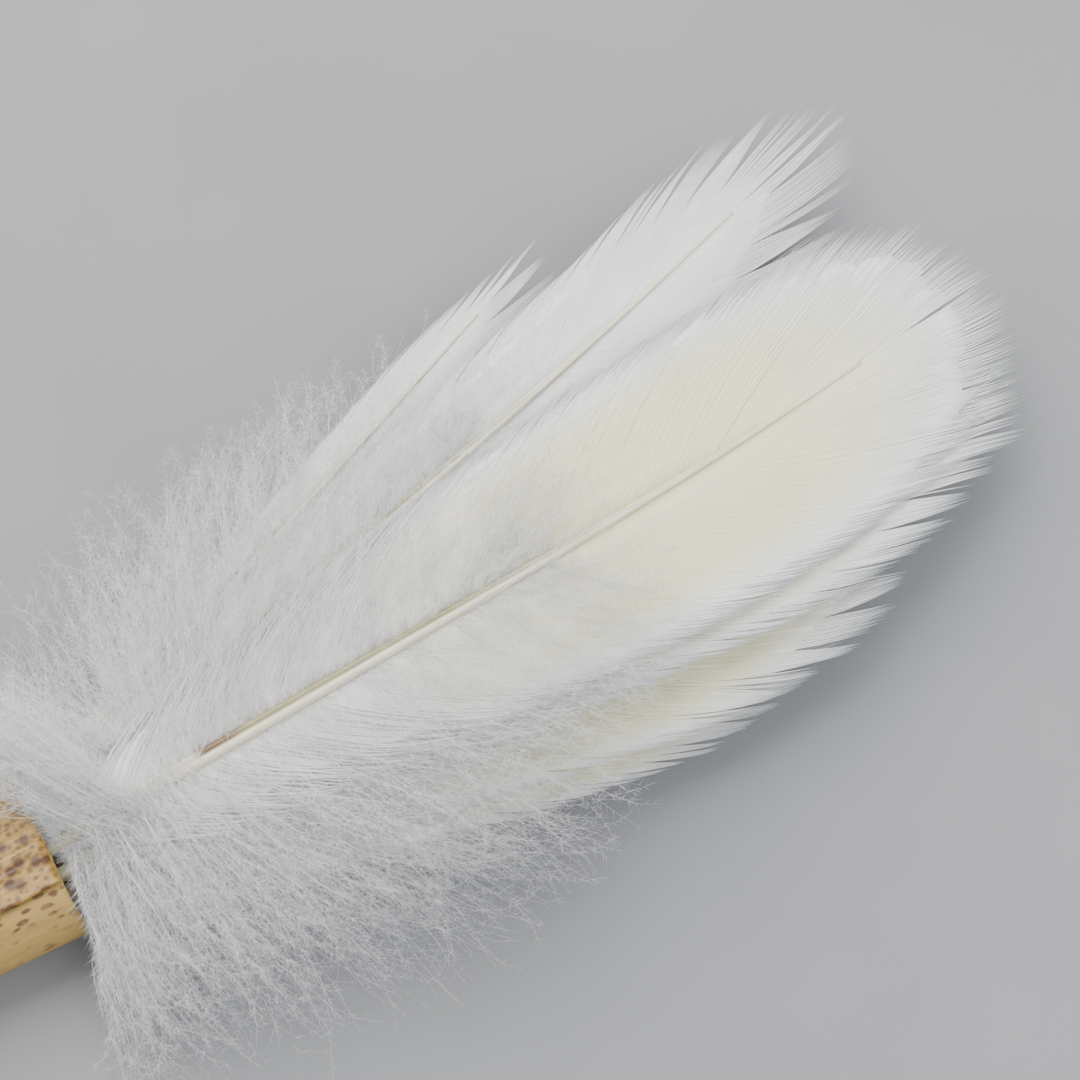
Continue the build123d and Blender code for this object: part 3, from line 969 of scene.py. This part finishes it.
            top = self.place(arch, s, t, lift)
            under = self.place(arch, s, t, lift - self.barb_height)
            uv = np.stack([s / self.length, u], axis=-1)
            loops = np.concatenate([top, under[:, ::-1]], axis=1)
            loop_uv = np.concatenate([uv, uv[:, ::-1]], axis=1)
            if side is Side.RIGHT:
                loops, loop_uv = loops[:, ::-1], loop_uv[:, ::-1]
            made.add_loop_sheet(loops, loop_uv)

    def add_plumes(
        self, made: MeshBuilder, arch: Arch, guard: MouthGuard, side: Side, rng: np.random.Generator
    ) -> None:
        """Adds one side's down: wavy strands that leave the shaft sideways, bend forward and carry barbules.

        A strand's heading from the shaft and its pitch are functions of the share u along it: the heading
        falls by a bend * u^1.5 and swings as a sine, and the pitch fades and swings too. Its points are the
        running sum of steps in those directions. Near the base many strands start beyond the shaft and
        cross it.

        Args:
            made: mesh that takes them.
            arch: heights of the layers.
            guard: what keeps them out of the handle.
            side: of the shaft.
            rng: source of random values.
        """
        n, m = self.plumage.value[1] // 2, self.strand_rings
        u = np.linspace(0.0, 1.0, m)[None]
        base = 2.0 * MM / self.length
        root = base + (self.down_end - base) * rng.random(n) ** 1.2
        heading = through_points((0.0, 0.06, 0.15, 0.3, 0.52), (116.0, 98.0, 78.0, 60.0, 44.0), root)
        heading = heading + rng.normal(0, 17.0, n)
        pitch = rng.normal(3.0 + 1.2 * (self.layer - arch.middle_layer), 9.0, n)
        over_handle = (side is Side.LEFT) & (self.layer > arch.middle_layer) & (root * self.length < 16 * MM)
        heading = np.minimum(heading, 124.0 if side is Side.LEFT else 112.0)
        heading = np.where(over_handle, rng.normal(120.0, 8.0, n), heading)
        pitch = pitch + 21.0 * over_handle
        length = self.down_length * through_points((0.0, 0.1, 0.3, 0.52), (0.86, 1.0, 1.0, 0.72), root)
        length = length * rng.uniform(0.55, 1.08, n)
        turn = (rng.normal(30.0, 12.0, n) * (1 - 0.7 * over_handle))[:, None] * u**1.5
        swing = rng.uniform(5.0, 18.0, n)[:, None] * np.sin(
            2 * np.pi * (rng.uniform(0.8, 1.9, n)[:, None] * u + rng.random(n)[:, None])
        )
        nod = rng.uniform(5.0, 16.0, n)[:, None] * np.sin(
            2 * np.pi * (rng.uniform(0.7, 1.6, n)[:, None] * u + rng.random(n)[:, None])
        )
        curl = rng.normal(0, 36.0, n)[:, None] * smooth_step(u, 0.7, 1.0)
        plan = np.radians(heading[:, None] - turn + (swing + curl) * np.sqrt(u))
        rise = np.radians(pitch[:, None] * (1 - 0.55 * u) + nod * u)
        step = (length / (m - 1))[:, None]
        out = root * self.length
        near = smooth_step(out, 6 * MM, 9 * MM) - smooth_step(out, 14 * MM, 24 * MM)
        cross = (rng.random(n) < 0.9 * near)[:, None]
        start = np.where(cross, -rng.uniform(0.5, 3.5, n)[:, None] * MM, 0.5 * MM)
        over = np.where(cross, rng.uniform(1.2, 2.0, n)[:, None] * MM, 0.2 * MM)

        def running(rate: Array) -> Array:
            """The sum of a rate's steps so far, from 0."""
            return np.concatenate([np.zeros((n, 1)), np.cumsum((rate * step)[:, 1:], axis=1)], axis=1)

        s = root[:, None] * self.length + running(np.cos(rise) * np.cos(plan))
        t = side.value * (start + running(np.cos(rise) * np.sin(plan)))
        path = guard.push(self.place(arch, s, t, over + running(np.sin(rise))))
        path[..., 2] = keep_low(path[..., 2])
        tangent = unit(np.gradient(path, axis=1))
        across = np.cross(tangent, unit(rng.normal(0, 1, (n, 1, 3)) * np.ones((1, m, 1))))
        radius = self.strand_radius * (1 - 0.7 * u) * np.ones((n, 1))
        uv = np.stack([np.clip(s / self.length, 0, 1), np.ones((n, 1)) * u], axis=-1)
        made.add_strands(path, across, radius, radius, uv, 3)
        self.add_barbules(made, path, tangent, uv, rng)

    def add_barbules(
        self, made: MeshBuilder, path: Array, tangent: Array, uv: Array, rng: np.random.Generator
    ) -> None:
        """Adds the down's barbules: spikes at random places on the strands, leaning towards the strand's end.

        A barbule's direction is 0.55 of the strand's tangent plus 0.85 of a random unit vector square to it,
        made unit.

        Args:
            made: mesh that takes them.
            path: points of the strands.
            tangent: directions of the strands at those points.
            uv: places on the strand map of those points.
            rng: source of random values.
        """
        n, m, _ = path.shape
        count = self.plumage.value[2]
        at = np.sort(rng.random((n, count)) ** 0.9, axis=1) * 0.985 * (m - 1)
        i = np.minimum(at.astype(int), m - 2)
        w = (at - i)[..., None]
        row = np.arange(n)[:, None]

        def between(values: Array) -> Array:
            """Values at the places, from those at the rings on either side."""
            return values[row, i] * (1 - w) + values[row, i + 1] * w

        root, ahead, place = between(path), unit(between(tangent)), between(uv)
        spread = rng.normal(0, 1, (n, count, 3))
        spread = unit(spread - ahead * np.sum(spread * ahead, axis=-1, keepdims=True))
        direction = unit(0.55 * ahead + 0.85 * spread)
        share = at / (m - 1)
        length = rng.uniform(1.4, 4.2, (n, count)) * MM * (1 - 0.6 * share)
        low = root[..., 2] + length * direction[..., 2] < FLOOR_CLEARANCE
        direction[..., 2] = np.where(low, np.abs(direction[..., 2]), direction[..., 2])
        roots, directions, places = root.reshape(-1, 3), direction.reshape(-1, 3), place.reshape(-1, 2)
        made.add_spikes(roots, directions, length.ravel(), self.barbule_radius, places)

    def add_rachis(self, made: MeshBuilder, arch: Arch, inside: float) -> None:
        """Adds the shaft from inside the handle to near the tip, an oval with a shallow groove along its top.

        At angle a from the top the section is (width sin a, height cos a), the height less a groove of
        0.3 e^(-(a / 0.45)^2). Width and height fall along the shaft through fixed shares.

        Args:
            made: mesh that takes it.
            arch: heights of the layers.
            inside: how far inside the mouth it starts.
        """
        rows, points = 90, 24
        s = np.linspace(-inside, self.rachis_end * self.length, rows)
        share = np.clip(s / self.length, 0.0, 1.0)
        stations = (0.0, 0.25, 0.45, 0.62, 0.82, 0.9)
        width = self.rachis_width * through_points(stations, (1.0, 1.04, 0.78, 0.48, 0.2, 0.1), share)
        height = self.rachis_width * through_points(stations, (1.0, 0.95, 0.8, 0.6, 0.34, 0.2), share)
        angle = np.linspace(-np.pi, np.pi, points, endpoint=False)
        groove = 1 - 0.3 * np.exp(-((angle / 0.45) ** 2))
        t = width[:, None] * np.sin(angle)[None]
        up = height[:, None] * (np.cos(angle) * groove)[None]
        bed = 0.15 * MM * smooth_step(share, 0.0, 0.25)
        flat = np.zeros_like(t)
        middle = self.place(arch, s[:, None] + flat, flat, flat)
        loops = self.place(arch, s[:, None] + flat, t, flat)
        loops[..., 2] = middle[..., 2] + up + bed[:, None]
        uv = np.stack([share[:, None] + flat, (angle / (2 * np.pi) + 0.5)[None] + flat], axis=-1)
        made.add_loop_sheet(loops, uv)

    def build(self, arch: Arch, guard: MouthGuard, finishes: dict[str, bpy.types.Material]) -> None:
        """Makes the feather's four pieces in place, and hides the solids that they stand in for.

        Args:
            arch: heights of the layers.
            guard: what keeps down out of the handle.
            finishes: materials by name.
        """
        rng = np.random.default_rng(self.seed)
        barbs, shaft = MeshBuilder(), MeshBuilder()
        plumes = {side: MeshBuilder() for side in Side}
        for side in Side:
            self.add_vane(barbs, arch, side, rng)
            self.add_plumes(plumes[side], arch, guard, side, rng)
        self.add_rachis(shaft, arch, inside=3.0 * MM)
        parts = (
            ("vane_barbs", barbs, "vane"),
            ("down_left", plumes[Side.LEFT], "down"),
            ("down_right", plumes[Side.RIGHT], "down"),
            ("rachis", shaft, "shaft"),
        )
        for label, made, kind in parts:
            finish = "cool_vane" if kind == "vane" and self.cool else kind
            piece = made.to_object(f"{self.name}_{label}", finishes[finish])
            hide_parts(f"{self.name}_feather_{kind}")
            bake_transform(piece)


def all_feathers() -> list[Feather]:
    """The seven feathers from the top layer down."""
    return [
        Feather(
            name="top", layer=6, yaw=4.8, length=149 * MM, right_width=20 * MM, left_width=20 * MM,
            plumage=Plumage.OPEN, down_length=33 * MM, roundness=2.8, bow=3.8 * MM, frayed=0.12, splits=1,
            seed=11,
        ),
        Feather(
            name="right", layer=5, yaw=0.8, length=146 * MM, right_width=16 * MM, left_width=17 * MM,
            plumage=Plumage.OPEN, down_length=33 * MM, roundness=1.8, bow=1.0 * MM, rachis_end=0.7, seed=12,
        ),
        Feather(
            name="left", layer=4, yaw=15.6, length=149 * MM, right_width=16 * MM, left_width=12 * MM,
            plumage=Plumage.OPEN, down_length=30 * MM, roundness=2.2, bow=3.4 * MM, frayed=1.25, splits=4,
            rolled=True, cool=True, seed=13,
        ),
        Feather(
            name="lower_right", layer=3, yaw=-5.8, length=120 * MM, right_width=11 * MM, left_width=13 * MM,
            plumage=Plumage.HALF_HIDDEN, down_length=32 * MM, roundness=1.7, bow=1.0 * MM, frayed=0.7, splits=4,
            seed=14,
        ),
        Feather(
            name="far_left", layer=2, yaw=21.8, length=106 * MM, right_width=10 * MM, left_width=4.5 * MM,
            plumage=Plumage.HALF_HIDDEN, down_length=25 * MM, roundness=1.5, bow=1.0 * MM, frayed=1.5, splits=5,
            cool=True, seed=15,
        ),
        Feather(
            name="far_right", layer=1, yaw=-7.6, length=109 * MM, right_width=9 * MM, left_width=10 * MM,
            plumage=Plumage.HALF_HIDDEN, down_length=30 * MM, roundness=1.6, bow=1.0 * MM, frayed=0.8, splits=4,
            seed=16,
        ),
        Feather(
            name="back", layer=0, yaw=10.0, length=138 * MM, right_width=17 * MM, left_width=17 * MM,
            plumage=Plumage.HIDDEN, down_length=31 * MM, roundness=2.4, frayed=0.6, seed=17,
        ),
    ]


# ---------------------------------------------------------------------------------------------------------
# Handle


@dataclass(frozen=True)
class HandleForm:
    """The handle's flat oval section along its length, with its two waists.

    Places round the section are distances from the middle of its top, counted to the brush's right.
    """

    tail: float
    mouth: float
    tail_width: float
    mouth_width: float
    thickness: float
    waists: tuple[float, float]
    waist_depth: float = 1.0 * MM
    waist_half_length: float = 2.9 * MM
    waist_ramp: float = 1.6 * MM

    def width(self, x: Array) -> Array:
        """Width at x: it changes evenly from the tail to the mouth."""
        widening = self.mouth_width - self.tail_width
        return self.tail_width + widening * (x - self.tail) / (self.mouth - self.tail)

    def waist(self, x: Array) -> Array:
        """How far the section is drawn in at x, eased at the ends of each waist."""
        depth = np.zeros_like(x)
        for centre in self.waists:
            away = np.abs(x - centre)
            reach = self.waist_half_length + self.waist_ramp
            ease = 1 - smooth_step(away, self.waist_half_length, reach)
            depth = np.maximum(depth, self.waist_depth * ease)
        return depth

    def perimeter(self, x: Array) -> Array:
        """Length round the section before any waist: two straights and a full circle."""
        return 2 * (self.width(x) - self.thickness) + np.pi * self.thickness

    def point(self, x: Array, place: Array, inset: Array) -> Array:
        """Points on the section taken in by inset: a straight, a half circle, a straight and a half circle.

        Args:
            x: along the handle.
            place: distance round the full section from the top's middle, positive to the right.
            inset: how far inside the full section.

        Returns:
            Points, with one more axis of length 3.
        """
        flat, full = (self.width(x) - self.thickness) / 2, self.thickness / 2
        half = self.perimeter(x) / 2
        turned = np.mod(place + half, 2 * half) - half
        far, side = np.abs(turned), np.sign(turned)
        angle = np.clip((far - flat) / full, 0.0, np.pi)
        along = np.minimum(far, flat) - np.maximum(far - flat - np.pi * full, 0.0)
        y = -side * (along + (full - inset) * np.sin(angle))
        z = full + (full - inset) * np.cos(angle)
        return np.stack([x, y, z], axis=-1)


@dataclass(frozen=True)
class Wrap:
    """One sheet of bamboo sheath round the handle, between two lengthwise edges.

    The sheet runs from its seam over the top, down the left side, under the handle and up to its other edge.
    """

    name: str
    node: str
    slot: str
    inset: float
    thickness: float
    seam: float
    seam_slant: float
    other_edge: float
    lift: float
    end_wave: float
    rows: int = 116
    columns: int = 230
    seed: int = 3

    def build(self, form: HandleForm, material: bpy.types.Material) -> None:
        """Makes the sheet: its outer face, its inner face a thickness further in, and its four edges.

        The outer face stands over its place by lengthwise ribs, a sum of sines of the distance round the
        handle with slowly changing phase, by pleats at the waists, and by a lift that grows towards the seam.
        """
        rng = np.random.default_rng(self.seed)
        x = np.linspace(form.tail, form.mouth, self.rows)[:, None]
        share = np.linspace(0.0, 1.0, self.columns)[None]
        seam = self.seam + self.seam_slant * (form.mouth - x) + 0.08 * MM * np.sin(x / (6.1 * MM))
        other = self.other_edge - form.perimeter(x)
        place = seam + (other - seam) * share
        ribs = np.zeros_like(place)
        for pitch, height in ((0.62, 0.022), (0.91, 0.03), (1.7, 0.03), (4.3, 0.05)):
            drift = rng.uniform(0, 6.3) + 0.9 * np.sin(x / (rng.uniform(18, 40) * MM) + rng.uniform(0, 6.3))
            ribs = ribs + height * MM * np.sin(2 * np.pi * place / (pitch * MM) + drift)
        waist = form.waist(x)
        pleats = 0.16 * MM * np.sin(2 * np.pi * place / (2.3 * MM) + 2.0) * waist / form.waist_depth
        from_seam = seam - place
        raised = self.lift * (1 - smooth_step(from_seam, 0.0, 2.2 * MM))
        raised = raised * (1 - waist / form.waist_depth) * (0.7 + 0.3 * np.sin(x / (9.0 * MM)))
        ends = smooth_step(np.minimum(x - form.tail, form.mouth - x), 0.0, 0.5 * MM)
        at_mouth = smooth_step(x, form.mouth - 3 * MM, form.mouth)
        cut = self.end_wave * np.sin(place / (5.2 * MM) + 1.0) * at_mouth
        face = self.inset + waist - 0.6 * (ribs + pleats) + 0.12 * MM * (1 - ends)
        along = x - np.abs(cut)
        outer = form.point(along, place, face - raised)
        outer[..., 2] = np.maximum(outer[..., 2], 0.0)
        inner = form.point(along, place, np.maximum(face, self.inset + waist) + self.thickness - raised)
        loops = np.concatenate([outer, inner[:, ::-1]], axis=1)
        way = (along - form.tail) / (form.mouth - form.tail)
        uv = np.stack([way, share + np.zeros_like(x)], axis=-1)
        made = MeshBuilder()
        made.add_loop_sheet(loops, np.concatenate([uv, uv[:, ::-1]], axis=1))
        piece = made.to_object(self.name, material)
        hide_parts(self.node)
        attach(piece, "handle")


@dataclass(frozen=True)
class Binding:
    """One whipping: a cord of three twisted plies, wound round the handle in a waist, its ends tucked under."""

    name: str
    node: str
    centre: float
    diameter: float = 0.9 * MM
    turns: float = 5.1
    gap: float = 0.02 * MM
    sink: float = 0.1 * MM
    plies: int = 3
    lay: float = 2.6 * MM
    tuck: float = 5.0 * MM
    steps_per_turn: int = 210

    def build(self, form: HandleForm, material: bpy.types.Material) -> None:
        """Makes the plies: each turns about the cord's middle line, a coil round the handle's section.

        At a distance d along the cord, a ply is away from the cord's middle by its share of the radius, at the
        angle 2 pi d / lay plus its own part of a turn.
        """
        count = int(self.turns * self.steps_per_turn)
        turn = np.linspace(0.0, self.turns, count)
        x = self.centre + (turn - self.turns / 2) * (self.diameter + self.gap)
        place = form.perimeter(x) * (turn + 0.42)
        distance = place - place[0]
        from_end = np.minimum(distance, distance[-1] - distance)
        tucked = 1 - smooth_step(from_end, 0.0, self.tuck)
        inset = self.sink + self.diameter / 2 + 0.8 * self.diameter * tucked
        middle = form.point(x, place, inset)
        outward = unit(form.point(x, place, inset - self.diameter) - middle)
        tangent = unit(np.gradient(middle, axis=0))
        aside = unit(np.cross(tangent, outward))
        made = MeshBuilder()
        ply_radius = self.diameter / 2 / (1 + 1 / math.sin(math.pi / self.plies))
        away = self.diameter / 2 - ply_radius
        parts = np.arange(self.plies) * 2 * np.pi / self.plies
        angle = 2 * np.pi * (distance / self.lay)[None] + parts[:, None]
        offset = outward * np.cos(angle)[..., None] + aside * np.sin(angle)[..., None]
        path = middle[None] + away * offset
        radius = 1.12 * ply_radius * np.ones((self.plies, count))
        share = np.repeat((distance / distance[-1])[None], self.plies, 0)
        uv = np.stack([share, 0.5 + 0.5 * np.sin(angle)], axis=-1)
        made.add_strands(path, offset, radius, radius, uv, 7)
        piece = made.to_object(self.name, material)
        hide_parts(self.node)
        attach(piece, "handle")


class Handle:
    """The handle: two wraps, two bindings, and the finishes of the parts that stay as they are in the frame."""

    def __init__(self) -> None:
        """Reads the handle's sizes from the frame's solids."""
        low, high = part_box("outer_sheath")
        front_low, front_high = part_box("front_binding")
        rear_low, rear_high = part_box("rear_binding")
        waists = ((front_low.x + front_high.x) / 2, (rear_low.x + rear_high.x) / 2)
        self.form = HandleForm(
            tail=low.x, mouth=high.x, tail_width=TAIL_WIDTH, mouth_width=2 * high.y, thickness=high.z,
            waists=waists,
        )

    def wraps(self) -> tuple[Wrap, Wrap]:
        """The spotted outer wrap, and the plain inner one whose edges both lie under it."""
        outer_edge = self.form.perimeter(self.form.mouth) / 2 - 10.8 * MM
        spotted = Wrap(
            name="spotted_wrap", node="outer_sheath", slot="spotted_sheath", inset=0.0, thickness=0.58 * MM,
            seam=6.4 * MM, seam_slant=0.026, other_edge=outer_edge, lift=0.1 * MM, end_wave=0.3 * MM,
        )
        plain = Wrap(
            name="plain_wrap", node="inner_sheath", slot="plain_sheath", inset=0.66 * MM, thickness=0.56 * MM,
            seam=-11.0 * MM, seam_slant=0.0, other_edge=-11.3 * MM, lift=0.0, end_wave=0.2 * MM,
            columns=200, seed=4,
        )
        return spotted, plain

    def build(self, finishes: dict[str, bpy.types.Material]) -> None:
        """Makes the wraps and bindings, and gives the solids inside the handle their finishes."""
        spotted, plain = self.wraps()
        spotted.build(self.form, finishes["spotted"])
        plain.build(self.form, finishes["plain"])
        Binding("front_cord", "front_binding", self.form.waists[0]).build(self.form, finishes["cord"])
        Binding("rear_cord", "rear_binding", self.form.waists[1]).build(self.form, finishes["cord"])
        kept = {"handle_core": "wood", "paper_packing": "paper", "quill_thread_front": "thread",
                "quill_thread_rear": "thread"}
        kept.update({name: "quill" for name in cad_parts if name.endswith("_quill")})
        for name, finish in kept.items():
            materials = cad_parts[name].data.materials
            materials.clear()
            materials.append(finishes[finish])


# ---------------------------------------------------------------------------------------------------------
# Stage


@dataclass(frozen=True)
class Studio:
    """The pale floor, the soft lights and the camera."""

    aim: tuple = (0.1365, 0.0069, 0.008)
    azimuth: float = -27.5
    elevation: float = 75.0
    distance: float = 0.3477
    lens: float = 85.0
    floor_half_size: float = 6.0

    def floor(self) -> None:
        """A wide plain floor just under the brush, pale grey with a faint unevenness."""
        mesh = bpy.data.meshes.new("floor")
        size = self.floor_half_size
        corners = [(-size, -size, 0.0), (size, -size, 0.0), (size, size, 0.0), (-size, size, 0.0)]
        mesh.from_pydata(corners, [], [(0, 1, 2, 3)])
        material = bpy.data.materials.new("floor_paint")
        material.use_nodes = True
        nodes = Nodes(material.node_tree)
        shader = material.node_tree.nodes["Principled BSDF"]
        shader.inputs["Roughness"].default_value = 0.85
        place = nodes.add("ShaderNodeTexCoord").outputs["Object"]
        tone = nodes.add("ShaderNodeTexNoise", in_Scale=30.0, in_Detail=3.0)
        nodes.link(place, tone.inputs["Vector"])
        stops = [(0.3, (0.27, 0.275, 0.285)), (0.7, (0.29, 0.295, 0.305))]
        nodes.link(nodes.ramp(tone.outputs["Fac"], stops), shader.inputs["Base Color"])
        mesh.materials.append(material)
        made = bpy.data.objects.new("floor", mesh)
        bpy.context.scene.collection.objects.link(made)

    def light(self, name: str, place: tuple, size: float, power: float, color: tuple) -> None:
        """One square area light that faces the brush's middle."""
        data = bpy.data.lights.new(name, "AREA")
        data.size, data.energy, data.color = size, power, color
        made = bpy.data.objects.new(name, data)
        made.location = place
        made.rotation_euler = (Vector(self.aim) - Vector(place)).to_track_quat("-Z", "Y").to_euler()
        bpy.context.scene.collection.objects.link(made)

    def build(self) -> None:
        """Makes the floor, a large key light from the upper left, a fill, a pale sky and the camera."""
        self.floor()
        self.light("key", (0.05, 0.62, 0.62), 0.9, 18.0, (1.0, 0.985, 0.95))
        self.light("fill", (0.45, -0.5, 0.55), 0.9, 6.0, (0.96, 0.975, 1.0))
        world = bpy.data.worlds.new("studio")
        world.use_nodes = True
        sky = world.node_tree.nodes["Background"]
        sky.inputs["Color"].default_value = (0.93, 0.95, 1.0, 1.0)
        sky.inputs["Strength"].default_value = 0.55
        bpy.context.scene.world = world
        data = bpy.data.cameras.new("camera")
        data.lens = self.lens
        camera = bpy.data.objects.new("camera", data)
        a, e = math.radians(self.azimuth), math.radians(self.elevation)
        back = Vector((math.sin(a) * math.cos(e), -math.cos(a) * math.cos(e), math.sin(e)))
        camera.location = Vector(self.aim) + back * self.distance
        camera.rotation_euler = back.to_track_quat("Z", "Y").to_euler()
        bpy.context.scene.collection.objects.link(camera)
        bpy.context.scene.camera = camera


def main() -> None:
    """Builds the finishes, the handle, the feathers and the studio in order."""
    logging.basicConfig(level=logging.INFO, format="%(name)s: %(message)s")
    effects = Effects()
    feather, sheath = FeatherFinishes(), HandleFinishes()
    handle = Handle()
    handle.build({
        "spotted": sheath.spotted(effects),
        "plain": sheath.plain(effects),
        "cord": sheath.binding(effects),
        "thread": sheath.thread(effects),
        "paper": sheath.paper(effects),
        "wood": sheath.wood(effects),
        "quill": feather.quill(effects),
    })
    quills = [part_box(f"{name}_feather_quill") for name in ("back", "top")]
    bottom, top = ((low.z + high.z) / 2 for low, high in quills)
    arch = Arch(handle.form.mouth, (bottom + top) / 2, (top - bottom) / 6)
    guard = MouthGuard(handle.form.mouth, handle.form.mouth_width / 2, handle.form.thickness)
    finishes = {
        "vane": feather.vane(effects, "cream_barbs", feather.cream),
        "cool_vane": feather.vane(effects, "cool_barbs", feather.cool_white),
        "down": feather.down(effects),
        "shaft": feather.shaft(effects),
    }
    for each in all_feathers():
        each.build(arch, guard, finishes)
        log.info("%s feather is built", each.name)
    Studio().build()


if __name__ == "__main__":
    main()
